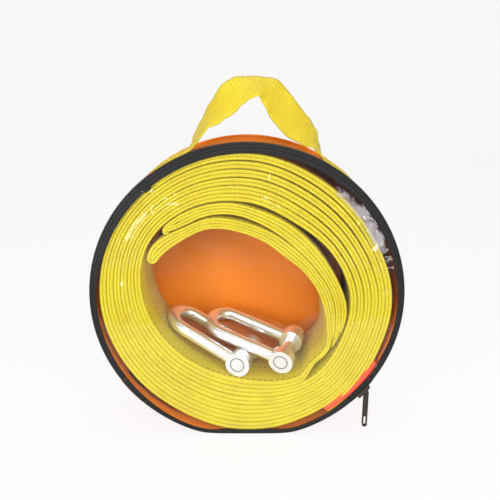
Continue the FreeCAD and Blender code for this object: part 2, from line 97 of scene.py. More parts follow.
def spline(a, b, c, d, t):
    """The smooth curve from b to c, with a before and d after them, for numbers or places."""
    slope = 2 * a - 5 * b + 4 * c - d + (3 * (b - c) + d - a) * t
    return b + (c - a + slope * t) * (0.5 * t)


def round_table(table, angle):
    """A smooth value at an angle from a table at equal steps round the ring."""
    step = 360 / len(table)
    index, share = divmod((angle % 360) / step, 1)
    return spline(*(table[(int(index) + i) % len(table)] for i in (-1, 0, 1, 2)), share)


def line_table(pairs, value):
    """A value on the smooth curve through these pairs (place, value)."""
    last = len(pairs) - 1
    index = next((i for i in range(last) if value <= pairs[i + 1][0]), last - 1)
    before, low, high, after = (pairs[min(max(index + i, 0), last)] for i in (-1, 0, 1, 2))
    width = high[0] - low[0]
    t = min(max((value - low[0]) / width, 0), 1)
    leave = (high[1] - before[1]) / (high[0] - before[0]) * width
    arrive = (after[1] - low[1]) / (after[0] - low[0]) * width
    rise = (high[1] - low[1]) * t * t * (3 - 2 * t)
    return low[1] + rise + leave * t * (1 - t) * (1 - t) - arrive * t * t * (1 - t)


def wobble(*place, seed=0.0):
    """Smooth noise from -1 to 1."""
    return noise.noise(Vector((*place, 0, 0)[:3]) + Vector((seed, seed * 1.7, -seed)))


def mesh_piece(name, points, faces, material, uvs=None):
    """A mesh from points in millimetres; uvs hold a place on the cloth, in metres, for every point."""
    mesh = bpy.data.meshes.new(name)
    mesh.from_pydata([Vector(point) * MM for point in points], [], faces)
    mesh.materials.append(material)
    if uvs:
        layer = mesh.uv_layers.new(name="cloth")
        for loop in mesh.loops:
            layer.data[loop.index].uv = uvs[loop.vertex_index]
    for face in mesh.polygons:
        face.use_smooth = True
    mesh.validate()
    mesh.update()
    piece = bpy.data.objects.new(name, mesh)
    bpy.context.scene.collection.objects.link(piece)
    return piece


def grid_faces(rows, columns, wrap_rows=False, wrap_columns=False):
    """Four-sided faces over a grid of points, joined end to end where it wraps."""
    faces = []
    for i in range(rows if wrap_rows else rows - 1):
        for j in range(columns if wrap_columns else columns - 1):
            a, b = i * columns + j, i * columns + (j + 1) % columns
            c = ((i + 1) % rows) * columns
            faces.append((a, c + j, c + (j + 1) % columns, b))
    return faces


def end_faces(sides, count):
    """The two ends of a tube with this many sides and points."""
    return [tuple(range(sides)), tuple(range(count - 1, count - sides - 1, -1))]


def thicken(piece, thickness):
    """Gives a one-sheet piece its wall and applies it."""
    solid = piece.modifiers.new("wall", "SOLIDIFY")
    solid.thickness = thickness * MM
    solid.offset = 1
    graph = bpy.context.evaluated_depsgraph_get()
    mesh = bpy.data.meshes.new_from_object(piece.evaluated_get(graph))
    piece.modifiers.clear()
    piece.data = mesh


def tube(name, path, radius, sides, material, closed=False):
    """A round tube along points in millimetres."""
    points = []
    side = None
    for i, place in enumerate(path):
        ahead = path[(i + 1) % len(path)] if closed or i + 1 < len(path) else place
        back = path[i - 1] if closed or i else place
        along = (ahead - back).normalized()
        side = side or along.orthogonal()
        side = (side - along * side.dot(along)).normalized()
        up = along.cross(side)
        for j in range(sides):
            turn = 2 * math.pi * j / sides
            points.append(place + (side * math.cos(turn) + up * math.sin(turn)) * radius)
    faces = grid_faces(len(path), sides, closed, True)
    if not closed:
        faces += end_faces(sides, len(points))
    return mesh_piece(name, points, faces, material)


# ---------------------------------------------------------------- materials


class Shader:
    """A material's node tree, built by short calls. Each call gives the socket it made."""

    def __init__(self, name):
        self.material = bpy.data.materials.new(name)
        self.material.use_nodes = True
        self.tree = self.material.node_tree
        self.surface = self.tree.nodes["Principled BSDF"]

    def put(self, socket, value):
        """Links a socket to another one, or sets its value."""
        if isinstance(value, bpy.types.NodeSocket):
            self.tree.links.new(value, socket)
        else:
            socket.default_value = value

    def add(self, kind, inputs=(), **settings):
        node = self.tree.nodes.new(kind)
        for key, value in settings.items():
            setattr(node, key, value)
        for key, value in dict(inputs).items():
            self.put(node.inputs[key], value)
        return node.outputs[0]

    def maths(self, operation, first, second=0.0, third=0.0):
        return self.add("ShaderNodeMath", {0: first, 1: second, 2: third}, operation=operation)

    def square(self, value):
        return self.maths("POWER", value, 2)

    def set(self, **values):
        """Sets the surface's own inputs and gives the shader back."""
        for key, value in values.items():
            self.put(self.surface.inputs[key.replace("_", " ")], value)
        return self

    def cloth(self):
        """The two places on the cloth, along and across, in metres."""
        split = self.add("ShaderNodeSeparateXYZ", {0: self.add("ShaderNodeUVMap", uv_map="cloth")}).node
        return split.outputs[0], split.outputs[1]

    def object_place(self):
        return self.tree.nodes.new("ShaderNodeTexCoord").outputs["Object"]

    def axes(self):
        """The place in the object's own X, Y and Z, in metres."""
        return self.add("ShaderNodeSeparateXYZ", {"Vector": self.object_place()}).node.outputs

    def grain(self, scale, detail=3.0, rough=0.5):
        inputs = {"Vector": self.object_place(), "Scale": scale, "Detail": detail, "Roughness": rough}
        return self.add("ShaderNodeTexNoise", inputs)

    def ramp(self, value, low, high, low_color, high_color):
        color = self.add("ShaderNodeValToRGB", {0: value})
        elements = color.node.color_ramp.elements
        for element, place, shade in zip(elements, (low, high), (low_color, high_color)):
            element.position = place
            element.color = (*shade, 1)
        return color

    def mix(self, share, first, second):
        """A colour between two others."""
        node = self.tree.nodes.new("ShaderNodeMix")
        node.data_type = "RGBA"
        for index, value in ((0, share), (6, first), (7, second)):
            self.put(node.inputs[index], (*value, 1) if isinstance(value, tuple) else value)
        return node.outputs[2]

    def layer(self, share, first, second):
        """A shader between two others."""
        return self.add("ShaderNodeMixShader", {0: share, 1: first, 2: second})

    def show(self, shader):
        """Makes this shader the material's surface."""
        self.tree.links.new(shader, self.tree.nodes["Material Output"].inputs["Surface"])

    def bump(self, height, strength, distance):
        inputs = {"Height": height, "Strength": strength, "Distance": distance * MM}
        return self.set(Normal=self.add("ShaderNodeBump", inputs))


def ribs(shader, along, pitch):
    """A wave from 0 to 1 with this pitch in millimetres."""
    wave = shader.maths("SINE", shader.maths("MULTIPLY", along, 2 * math.pi / (pitch * MM)))
    return shader.maths("MULTIPLY_ADD", wave, 0.5, 0.5)


def fabric(name, light, dark, scale=900, roughness=0.5, specular=0.5):
    """A coated or plain woven cloth with a fine grain."""
    shader = Shader(name)
    grain = shader.grain(scale)
    broad = shader.grain(18)
    shade = shader.maths("MULTIPLY_ADD", broad, 0.6, shader.maths("MULTIPLY", grain, 0.4))
    shader.set(Base_Color=shader.ramp(shade, 0.35, 0.65, dark, light), Roughness=roughness)
    shader.set(Specular_IOR_Level=specular)
    return shader.bump(grain, 0.12, 0.08).material


def webbing(name, light, dark, pitch, speckled, dashes=()):
    """Woven webbing: ribs across with painted shade in their troughs, speckled by its threads, and black
    marker threads at dashes.
    """
    shader = Shader(name)
    along, across = shader.cloth()
    rib = ribs(shader, along, pitch)
    speckle = shader.grain(700, 2.0, 0.6)
    weave_and_painted_trough_shade = shader.maths("MULTIPLY_ADD", rib, 1 - speckled, shader.maths("MULTIPLY", speckle, speckled))
    broad = shader.grain(60, 4.0, 0.65)
    # The ribs' troughs come out darker in colour: painted shade between the ribs. The speckle is the threads'
    # own tone.
    shade = shader.maths("MULTIPLY_ADD", broad, 0.45, shader.maths("MULTIPLY", weave_and_painted_trough_shade, 0.55))
    color = shader.ramp(shade, 0.2, 0.6, dark, light)
    dash_half_width, dash_pitch = 0.45, 4.4
    for place in dashes:
        beside = shader.maths("ABSOLUTE", shader.maths("SUBTRACT", across, place * MM))
        inside = shader.maths("LESS_THAN", beside, dash_half_width * MM)
        step = shader.maths("FRACT", shader.maths("MULTIPLY", along, 1 / (dash_pitch * MM)))
        dash = shader.maths("MULTIPLY", inside, shader.maths("LESS_THAN", step, 0.5))
        color = shader.mix(dash, color, (0.02, 0.015, 0.005))
    shader.set(Base_Color=color, Roughness=0.62, Sheen_Weight=0.15)
    return shader.bump(weave_and_painted_trough_shade, 0.55, 0.35).material


def plain(name, color, roughness, metallic=0.0, grain=0.0):
    """Plastic or metal of one colour, with a fine grain if it has one."""
    shader = Shader(name)
    shader.set(Base_Color=(*color, 1), Roughness=roughness, Metallic=metallic)
    if grain:
        shader.bump(shader.grain(1400), grain, 0.1)
    return shader.material


def clear_film():
    """Thin clear vinyl with its glare on top, and a patch of painted glare where it is crumpled at the upper
    right.
    """
    shader = Shader("clear_film")
    see_through = shader.add("ShaderNodeBsdfTransparent", {"Color": (0.985, 0.98, 0.975, 1)})
    glare = shader.add("ShaderNodeBsdfGlossy", {"Color": (1, 1, 1, 1), "Roughness": 0.05})
    # Fresnel inverts the index on a back face. It is inverted here first, so both faces glare alike.
    vinyl = 1.5
    behind = shader.add("ShaderNodeNewGeometry").node.outputs["Backfacing"]
    bend = shader.maths("MULTIPLY_ADD", behind, 1 / vinyl - vinyl, vinyl)
    facing = shader.add("ShaderNodeFresnel", {"IOR": bend})

    # The patch of painted glare: its middle's radius and height, and half of its width and height.
    patch_radius, patch_up, half_width, half_height = 97.5, 50, 5.5, 36
    axes = shader.axes()
    across = axes["X"]
    up = shader.maths("SUBTRACT", axes["Z"], CENTRE * MM)
    reach = shader.maths("SQRT", shader.maths("ADD", shader.square(across), shader.square(up)))
    beside = shader.maths("DIVIDE", shader.maths("SUBTRACT", reach, patch_radius * MM), half_width * MM)
    beyond = shader.maths("DIVIDE", shader.maths("SUBTRACT", up, patch_up * MM), half_height * MM)
    away = shader.maths("ADD", shader.square(beside), shader.square(beyond))
    right = shader.maths("GREATER_THAN", across, 0.0)
    near = shader.maths("MULTIPLY", shader.maths("SUBTRACT", 1.0, away), right)
    # Only the peaks of the noise get the painted glare, and more of them towards the middle of the patch.
    lowest_peak, contrast, most = 1.02, 2.2, 0.55
    peaks = shader.maths("MULTIPLY_ADD", shader.grain(70, 3.0, 0.7), 1.6, shader.maths("MULTIPLY", near, 0.5))
    crumple = shader.maths("MULTIPLY", shader.maths("SUBTRACT", peaks, lowest_peak), contrast)
    painted_glare_amount = shader.maths("MINIMUM", shader.maths("MAXIMUM", crumple, 0.0), most)
    painted_glare_amount = shader.maths("MULTIPLY", painted_glare_amount, shader.maths("GREATER_THAN", near, 0.0))
    # A pale grey diffuse sheet, mixed in at these peaks, is painted glare of the crumpled film.
    painted_glare_sheet = shader.add("ShaderNodeBsdfDiffuse", {"Color": (0.5, 0.47, 0.48, 1)})
    shader.show(shader.layer(facing, shader.layer(painted_glare_amount, see_through, painted_glare_sheet), glare))
    shader.tree.nodes.remove(shader.surface)
    return shader.material


YELLOW = (0.65, 0.56, 0.005)
YELLOW_SHADE = (0.52, 0.37, 0.002)
mats = {
    "bag": fabric("coated_orange", (0.86, 0.235, 0.0), (0.81, 0.205, 0.0), 1100, 0.5),
    "tape": fabric("black_tape", (0.016, 0.016, 0.017), (0.008, 0.008, 0.0085), 1500, 0.5, 0.22),
    "coil": plain("black_coil", (0.045, 0.045, 0.047), 0.3),
    "metal": plain("dark_slider", (0.055, 0.045, 0.038), 0.32, 0.7, 0.1),
    "handle": webbing("yellow_webbing", (0.72, 0.57, 0.003), (0.46, 0.31, 0.002), 1.35, 0.25),
    "strap": webbing("yellow_strap", YELLOW, YELLOW_SHADE, RIB, 0.85, (2.2, 21.5)),
    "thread": plain("yellow_thread", (0.70, 0.52, 0.004), 0.6),
    "black_thread": plain("black_thread", (0.02, 0.02, 0.02), 0.6),
    "red": fabric("red_sleeve_cloth", (0.95, 0.085, 0.02), (0.86, 0.06, 0.012), 900, 0.6),
    "zinc": plain("bright_zinc", (0.94, 0.955, 0.985), 0.24, 0.84, 0.04),
    "joint": plain("dark_joint", (0.10, 0.095, 0.09), 0.5, 0.5),
    "film": clear_film(),
}


def dress(material, *nodes):
    """Gives CAD nodes a material in place of their packed one."""
    for node in nodes:
        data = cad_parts[node].data
        data.materials.clear()
        data.materials.append(mats[material])


def made(piece, body, slot, *nodes):
    """Puts a piece on its body and lets it stand for these CAD nodes."""
    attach(piece, body)
    if nodes:
        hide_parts(*nodes)
    return piece


# ---------------------------------------------------------------- the bag's shell


def outline(angle, radius):
    """The bag's outline: a circle that the ground flattens, with a soft change between the two."""
    turn = math.radians(angle)
    down = -math.sin(turn)
    if down <= 0.5:
        return radius
    flat = CENTRE / down
    soft = 1.2
    gap = (radius - flat) / soft
    return radius - soft * math.log1p(math.exp(gap)) if gap < 30 else flat


def shell_sag(angle, depth):
    """How far the gusset gives inwards: depth runs from 0 at the zip to 1 at the rear seam."""
    slack = math.sin(math.pi * min(depth, 1.0)) ** 0.8
    top = 1.6 * bump_at(angle, 84, 30) * smooth(0, 0.8, depth)
    creases = 0.5 + 0.5 * wobble(angle * 0.055, depth * 2.2, seed=3.0)
    return top + slack * (0.25 + 0.9 * creases) * (1 - 0.7 * bump_at(angle, 270, 55))


def gusset():
    """The band round the sides and the bottom, sewn to the zip in front and the panel at the back."""
    angles, depths = 360, 26
    points, uvs = [], []
    for i in range(angles):
        angle = i * 360 / angles
        below = smooth(-26, -36, math.degrees(math.asin(math.sin(math.radians(angle)))))
        front = GUSSET_FRONT + (FILM_Y + 0.3 - GUSSET_FRONT) * below
        for j in range(depths):
            depth = j / (depths - 1)
            y = front + (BACK - 0.6 - front) * depth
            radius = outline(angle, SHELL - 0.05) - shell_sag(angle, depth)
            # The bag stands out at its lower corners, further at the left one.
            corner = 7.5 * smooth(213, 217, angle) * smooth(248, 232, angle) * smooth(0.16, 0.28, depth)
            bulge = corner + 5.0 * bump_at(angle, 310, 32)
            radius += bulge * smooth(0.02, 0.1, depth) * (1 - smooth(0.35, 1, depth))
            place = polar(angle, radius, y)
            place.z = max(place.z, GROUND)
            points.append(place)
            uvs.append((math.radians(angle) * SHELL * MM, y * MM))
    band = mesh_piece("bag_gusset", points, grid_faces(angles, depths, True), mats["bag"], uvs)
    thicken(band, 0.9)
    made(band, "bag", "bag_fabric", "gusset_upper", "gusset_base")


def disc(name, radius, depth, material, rings, steps, low=-math.inf):
    """A disc with the bag's outline, no lower than low; depth gives y from x, z and share of radius."""
    points, uvs = [], []
    for i in range(rings + 1):
        share = i / rings
        for j in range(steps):
            angle = j * 360 / steps
            reach = outline(angle, radius) * share
            spot = polar(angle, reach, 0)
            spot.z = max(spot.z, low)
            spot.y = depth(spot.x, spot.z, share)
            points.append(spot)
            uvs.append((spot.x * MM, spot.z * MM))
    return mesh_piece(name, points, grid_faces(rings + 1, steps, False, True), material, uvs)


def panel_depth(x, z, share):
    """The back panel is pushed out a little in the middle and puckers along its seam."""
    edge = smooth(1, 0.86, share)
    pucker = 0.45 * wobble(x * 0.09, z * 0.09, seed=5.0) * smooth(0.5, 0.95, share) * smooth(1, 0.97, share)
    broad = 0.8 * wobble(x * 0.022, z * 0.022, seed=9.0)
    return BACK - 0.9 + edge * (0.55 + 0.5 * broad) + pucker


# Creases in the film: (middle across, middle up from the ring's middle, direction, reach, width, height).
CREASES = (
    (-71, 52, 53, 26, 2.2, 1.6),
    (-52, 66, 5, 18, 1.8, 1.4),
    (-60, 62, 60, 11, 1.7, 1.2),
    (-49, 72, 25, 8, 1.6, 1.2),
    (-64, 75, -10, 10, 1.6, 1.3),
    (-20, 87, 20, 28, 1.5, 0.6),
    (16, 68, -38, 13, 1.5, 1.2),
    (16, 85, 82, 8, 1.6, 0.8),
    (-84, 8, 70, 12, 1.8, 0.9),
    (-80, -12, 75, 14, 1.8, 0.8),
    (-58, -81, -48, 16, 1.6, 1.0),
    (0, -94, 3, 26, 1.6, 1.3),
    (-22, -95, 8, 16, 1.5, 0.9),
    (-33, 33, -52, 34, 2.6, 0.5),
    (20, 24, -30, 70, 7.0, 0.5),
    (44, -8, 42, 44, 6.0, 0.5),
    (-10, 22, 8, 40, 6.0, 0.5),
)


def film_depth(x, z, share):
    """The film is drawn tight over the strap, with long soft folds, creases and crumpled places."""
    up = z - CENTRE
    depth = 0.35 * wobble(x * 0.021 + up * 0.009, up * 0.017 - x * 0.006, seed=2.0)
    depth += 0.12 * wobble(x * 0.08, up * 0.06, seed=4.0)
    for left, middle, direction, reach, width, height in CREASES:
        turn = math.radians(direction)
        along = (x - left) * math.cos(turn) + (up - middle) * math.sin(turn)
        beside = (up - middle) * math.cos(turn) - (x - left) * math.sin(turn)
        if abs(along) < reach and abs(beside) < 4 * width:
            bend = 0.25 * width * math.sin(along * 0.35 + left)
            ridge = math.exp(-(((beside + bend) / width) ** 2))
            depth -= height * ridge * smooth(reach * 0.62, reach * 0.3, abs(along))
    angle = math.degrees(math.atan2(up, x))
    radius = math.hypot(x, up)
    folds = 0.75 + 0.7 * wobble(angle * 0.22, radius * 0.12, seed=6.0)
    depth -= 3.6 * bump_at(angle, 27, 29) * smooth(86, 94, radius) * smooth(103, 95, radius) * folds
    crumple = 1.8 * bump_at(angle, 26, 27) * smooth(90, 97, radius)
    crumple += 1.4 * bump_at(angle, 236, 26) * smooth(90, 98, radius)
    crumple += 0.9 * bump_at(angle, 110, 35) * smooth(92, 98, radius)
    depth += crumple * (abs(wobble(x * 0.15, up * 0.15, seed=8.0)) - 0.25)
    return FILM_Y + depth * smooth(1, 0.97, share)


def shell():
    """The gusset, the back panel, its welt cord and the film."""
    gusset()
    panel = disc("bag_back_panel", SHELL - 0.3, panel_depth, mats["bag"], 48, 200)
    thicken(panel, 0.8)
    made(panel, "bag", "bag_fabric", "back_panel")
    welt = [polar(a, outline(a, CHAIN + 0.35) - 0.1, BACK - 0.95) for a in range(0, 360, 2)]
    for place in welt:
        place.z = max(place.z, 0.95)
    cord = tube("bag_rear_piping", welt, 0.9, 12, mats["bag"], True)
    made(cord, "bag", "piping", "back_piping")
    film = disc("bag_film", CHAIN - 1.2, film_depth, mats["film"], 120, 480, 1.5)
    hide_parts("window_film", "window_apron")
    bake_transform(film)


# ---------------------------------------------------------------- the zip


# How wide the black ring lies in front, at every 30 degrees.
RING_WIDTHS = (5.0, 6.2, 7.0, 7.0, 7.2, 7.0, 5.2, 5.0, 3.6, 3.5, 4.0, 4.2)


def lofted_ring(name, section, start, end, material, width=None, step=1.5):
    """A ring of this closed section, (radius inside the outline, y) pairs, between two angles.

    With a width, the section is drawn for that width and stretched to the ring's own."""
    count = max(2, round((end - start) / step))
    closed = end - start >= 360
    points = []
    for i in range(count if closed else count + 1):
        angle = start + (end - start) * i / count
        stretch = round_table(RING_WIDTHS, angle) / width if width else 1
        for inset, y in section:
            place = polar(angle, outline(angle, RING) - inset * stretch, y)
            place.z = max(place.z, GROUND)
            points.append(place)
    sides = len(section)
    faces = grid_faces(len(points) // sides, sides, closed, True)
    if not closed:
        faces += end_faces(sides, len(points))
    return mesh_piece(name, points, faces, material)


def crossing(level, radius):
    """The angle, on the right, at which a circle of this radius is at this height."""
    return math.degrees(math.asin((level - CENTRE) / radius))


def zip_coil(name, y, start, end):
    """A row of the zip's coil: a fine helix along the ring."""
    pitch, wire, sides, steps = 1.45, 0.36, 6, 9
    radius = RING - 1.0
    turns = math.radians(end - start) * radius / pitch
    path = []
    for i in range(round(turns * steps) + 1):
        share = i / (turns * steps)
        turn = 2 * math.pi * i / steps
        out = radius + (0.98 - wire) * math.cos(turn)
        path.append(polar(start + (end - start) * share, out, y + (1.25 - wire) * math.sin(turn)))
    return tube(name, path, wire, sides, mats["coil"])


def stitches(name, places, length, wire, material):
    """A row of short threads: places hold a middle, a direction and the way out of the cloth."""
    points, faces = [], []
    for middle, along, out in places:
        side = along.cross(out).normalized()
        first = len(points)
        for share, lift in ((-0.5, -0.3), (-0.35, 0.5), (0.35, 0.5), (0.5, -0.3)):
            spot = middle + along * (length * share) + out * (wire * lift)
            for turn in range(6):
                angle = turn * math.pi / 3
                points.append(spot + (side * math.cos(angle) + out * math.sin(angle) * 0.8) * wire)
        thread = grid_faces(4, 6, False, True) + end_faces(6, 24)
        faces += [tuple(first + n for n in face) for face in thread]
    return mesh_piece(name, points, faces, material)


def in_front(*section):
    """A section whose y is counted from the front of the binding."""
    return [(inset, FRONT + y) for inset, y in section]


def zip_parts():
    """The black ring in front, both rows of the zip, the binding, the seam and the slider's finish."""
    flap_start = crossing(CREASE, RING)
    tape = in_front((0.5, 0.45), (0.7, 0.12), (1.2, -0.1), (1.7, -0.02), (2.0, 0.3), (2.3, 0.02), (3.6, -0.08))
    tape += in_front((4.0, 0.32), (4.3, 0.02), (5.2, -0.08), (5.5, 0.28), (5.8, 0.02), (6.8, 0.1), (7.0, 0.42))
    ring = lofted_ring("zip_tape_front", tape, flap_start, 180 - flap_start, mats["tape"], 7.0)
    made(ring, "window_flap", "zip_tape", "zip_tape_window")
    start = flap_start + 0.6
    row = zip_coil("zip_teeth_window", middle_y("zip_coil_window"), start, 180 - start)
    made(row, "window_flap", "zip_coil", "zip_coil_window")
    start = crossing(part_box("zip_coil_side")[0].z / MM, RING) + 0.6
    row = zip_coil("zip_teeth_side", middle_y("zip_coil_side"), start, 180 - start)
    made(row, "bag", "zip_coil", "zip_coil_side")

    binding = in_front((4.1, 0.45), (4.0, 0.1), (3.2, -0.12), (1.2, -0.1), (0.25, 0.3), (0.0, 1.4))
    binding += in_front((0.05, 4.2), (1.9, 4.2), (1.95, 0.6))
    low = 180 - crossing(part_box("zip_garage_left")[0].z / MM - 0.3, RING)
    lower = lofted_ring("front_binding_cloth", binding, low, 540 - low, mats["tape"], 4.1)
    made(lower, "bag", "black_binding", "front_binding")
    face = in_front((4.1, 0.45), (4.0, 0.1), (3.2, -0.05), (1.2, 0.0), (0.25, 0.12), (0.2, 0.48))
    left, right = (180 - flap_start + 0.2, low), (540 - low, 360 + flap_start - 0.2)
    for side, (begin, end) in (("left", left), ("right", right)):
        strip = lofted_ring(f"binding_face_{side}", face, begin, end, mats["tape"], 4.1)
        made(strip, "bag", "black_binding")

    seam = []
    threads = 150
    for i in range(threads):
        angle = flap_start + 2 + (176 - 2 * flap_start) * i / (threads - 1)
        along = Vector((-math.sin(math.radians(angle)), 0, math.cos(math.radians(angle))))
        inset = 5.0 * round_table(RING_WIDTHS, angle) / 7.0
        seam.append((polar(angle, outline(angle, RING) - inset, FRONT + 0.1), along, Vector((0, -1, 0))))
    made(stitches("zip_seam", seam, 1.9, 0.2, mats["black_thread"]), "window_flap", "zip_tape")
    dress("tape", "zip_tape_side", "zip_garage_right", "zip_end_tab")
    dress("bag", "zip_garage_left")
    dress("metal", "slider_body", "slider_bridge", "zip_pull")
    for node in ("slider_body", "slider_bridge", "zip_pull"):
        soften(node, 0.18)


def soften(node, width):
    """Rounds a CAD node's sharp edges a little."""
    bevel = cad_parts[node].modifiers.new("edges", "BEVEL")
    bevel.width = width * MM
    bevel.segments = 2
    bevel.limit_method = "ANGLE"
    bevel.angle_limit = math.radians(50)
    bevel.harden_normals = False


# ---------------------------------------------------------------- ribbons


def curve_through(points, spacing):
    """Evenly spaced points, in millimetres, along a smooth curve through these."""
    dense = []
    last = len(points) - 1
    for i in range(last):
        near = [points[min(max(i + n, 0), last)] for n in (-1, 0, 1, 2)]
        dense += [spline(*near, step / 24) for step in range(24)]
    dense.append(points[-1])
    total = sum((b - a).length for a, b in zip(dense, dense[1:]))
    count = max(2, round(total / spacing))
    result, run, index = [], 0.0, 0
    for n in range(count + 1):
        goal = total * n / count
        while index < len(dense) - 2 and run + (dense[index + 1] - dense[index]).length < goal:
            run += (dense[index + 1] - dense[index]).length
            index += 1
        length = (dense[index + 1] - dense[index]).length
        result.append(dense[index].lerp(dense[index + 1], min((goal - run) / max(length, 1e-9), 1)))
    return result


def ribbon_data(path, offset, thickness, front, back, seed, start=0.0):
    """A ply of the strap: path in the XZ plane, offset and thickness given at each of its points."""
    points, uvs = [], []
    run = start
    for i, place in enumerate(path):
        ahead, behind = path[min(i + 1, len(path) - 1)], path[max(i - 1, 0)]
        along = (ahead - behind).normalized()
        if i:
            run += (place - path[i - 1]).length
        normal = Vector((along.z, 0, -along.x))
        beads = 0.14 * math.sin(2 * math.pi * run / RIB) + 0.08 * wobble(run * 0.9, seed=seed + 9)
        half = thickness[i] / 2 + min(beads, thickness[i] / 8)
        centre = place + normal * offset[i]
        ragged = 0.30 * wobble(run * 0.03, seed=seed) + 0.14 * wobble(run * 0.33, seed=seed + 5)
        low, high = front + ragged, back + ragged
        edge = half * 0.75
        shoulder = low + edge * 0.3
        section = ((-1, low + edge), (-0.7, shoulder), (0, low), (0.7, shoulder), (1, low + edge))
        section += ((1, high - edge), (0, high), (-1, high - edge))
        for share, y in section:
            points.append(centre + normal * (half * share) + Vector((0, y - centre.y, 0)))
            uvs.append((run * MM, (y - front) * MM + 0.0004 * share))
    faces = grid_faces(len(path), len(section), False, True) + end_faces(len(section), len(points))
    return points, uvs, faces


def join_plies(name, plies, material):
    """One piece from the points, places on the cloth and faces of these plies."""
    points, uvs, faces = [], [], []
    for ply_points, ply_uvs, ply_faces in plies:
        first = len(points)
        points += ply_points
        uvs += ply_uvs
        faces += [tuple(first + n for n in face) for face in ply_faces]
    return mesh_piece(name, points, faces, material, uvs)


# The coil at every 30 degrees: its gap to the gusset's inside, and how thick its turns lie there.
COIL_GAPS = (4.9, 8.9, 7.9, 3.4, 2.9, 2.9, 3.6, 5.4, 5.6, 2.6, 4.6, 4.9)
COIL_WALLS = (28.7, 29.7, 33.7, 32.8, 27.3, 24.9, 30.2, 35.5, 39.3, 41.3, 31.9, 28.4)
TURNS = 6.0
OUTER_END = -56.0
# Turns that lie a little apart from the next one out: (turn, angle, half width, gap).
LOOSE = (
    (0, 85, 60, 0.8),
    (1, 65, 70, 0.7),
    (2, 50, 70, 0.9),
    (3, 85, 75, 0.5),
    (4, 40, 60, 0.9),
    (5, 25, 50, 0.4),
    (1, 235, 50, 0.3),
    (4, 240, 60, 0.3),
)
# The radii of the edges of the eye's two folded bands, each by (angle, radius).
HOLE_EDGE = ((-57, 63.5), (-33, 65), (-20, 59), (0, 51), (25, 44), (50, 40), (75, 43), (95, 48), (118, 56.5))
HOLE_EDGE += ((136, 60.5), (153, 66))
FIRST_EDGE = ((-57, 66.5), (-33, 68.5), (-20, 65), (0, 59), (25, 51.5), (48, 49), (70, 50.5), (92, 55))
FIRST_EDGE += ((114, 63), (130, 66.5), (145, 73), (154, 75))
SECOND_EDGE = ((-31, 68.8), (-20, 65.2), (0, 59.2), (25, 51.8), (48, 49.3), (65, 50.8), (81, 54.5), (100, 61))
SECOND_EDGE += ((115, 64.8), (129, 67), (137, 71))
LAST_EDGE = ((-31, 69), (-12, 70), (-3, 68.5), (12, 63.5), (26, 60.5), (44, 59.3), (65, 60.8), (82, 63.5))
LAST_EDGE += ((100, 69), (118, 73), (136, 76))
EYE_LOW = -31  # the angle, at the lower right, where the folded bands end


def coil_radii(angle):
    """The coil's outer and inner radius at an angle."""
    outer = CHAIN - 1.1 - round_table(COIL_GAPS, angle)
    return outer, outer - round_table(COIL_WALLS, angle)


def coil_place(t):
    """The middle of the strap at t turns from its outer end, its pitch there and its angle."""
    angle = OUTER_END + 360 * t
    outer, inner = coil_radii(angle)
    here = (angle - OUTER_END) % 360
    pitch = (outer - inner) / TURNS
    turn = round(t - here / 360)
    return outer - (turn - 0.5 + smooth(0, 40, here)) * pitch, pitch, angle


def strap_coil():
    """The double strap, as two plies that run side by side through all the turns."""
    count = round(TURNS * 640)
    path, thickness = [], []
    for i in range(count + 1):
        t = TURNS * i / count
        radius, pitch, angle = coil_place(t)
        gap = 0.3
        for turn, middle, half, extra in LOOSE:
            gap += extra * bump_at(angle, middle, half) * (1 - smooth(0.3, 0.6, abs(t - turn - 0.1)))
        path.append(polar(angle, radius - gap * 0.15, 0))
        thickness.append(max(pitch - gap, 1.6) / 2)
    for name, side, seed in (("tow_strap_outer_ply", 1, 11.0), ("tow_strap_inner_ply", -1, 17.0)):
        offset = [side * wall / 2 * 1.02 for wall in thickness]
        data = ribbon_data(path, offset, thickness, STRAP_FRONT, STRAP_BACK, seed)
        ply = join_plies(name, [data], mats["strap"])
        made(ply, "bag", "strap", *(("tow_strap_coil",) if side > 0 else ()))


def leg_stations(low, high, share, start, end, step):
    """Along one leg of a band: polar places whose depth holds the leg's thickness across itself."""
    result = []
    for i in range(round(abs(end - start) / step) + 1):
        angle = start + math.copysign(step * i, end - start)
        inner, outer = line_table(low, angle), line_table(high, angle)
        split = inner + max((outer - inner) / 2, min(3.4, outer - inner))
        if share:
            inner = split
        else:
            outer = split
        rise = (line_table(low, angle + 1) - line_table(low, angle - 1)) * 90 / math.pi
        lean = inner / math.hypot(inner, rise)
        result.append(polar(angle, (inner + outer) / 2, (outer - inner) * lean * 0.96))
    return result


def folded_band(low, high, start, end, fold, seed, begin=None):
    """A band of the strap folded back on itself at the end: four plies and its length."""
    leg_in = [polar(*begin)] if begin else []
    leg_in += leg_stations(low, high, 0, start, end, 6)
    leg_out = leg_stations(low, high, 1, end - 1, EYE_LOW, 6)
    wall = (leg_in[-1].y + leg_out[0].y) / 2
    inner, outer = line_table(low, end), line_table(high, end)
    middle, reach = (inner + outer) / 2, (outer - inner) / 4
    turn = [polar(end + fold * 0.75, middle - reach * 0.7, wall), polar(end + fold, middle, wall)]
    turn.append(polar(end + fold * 0.75, middle + reach * 0.7, wall))
    stations = curve_through(leg_in + turn + leg_out, 0.8)
    path = [Vector((place.x, 0, place.z)) for place in stations]
    last = len(path) - 1
    taper = [1 - 0.7 * smooth(last - 12, last, i) for i in range(last + 1)]
    wall = [max(place.y, 0.3) / 2 * share for place, share in zip(stations, taper)]
    plies = []
    for side in (1, -1):
        offset = [side * here / 2 * 1.02 for here in wall]
        plies.append(ribbon_data(path, offset, wall, STRAP_FRONT, STRAP_BACK, seed + side, 4300.0))
    return plies, sum((b - a).length for a, b in zip(path, path[1:]))


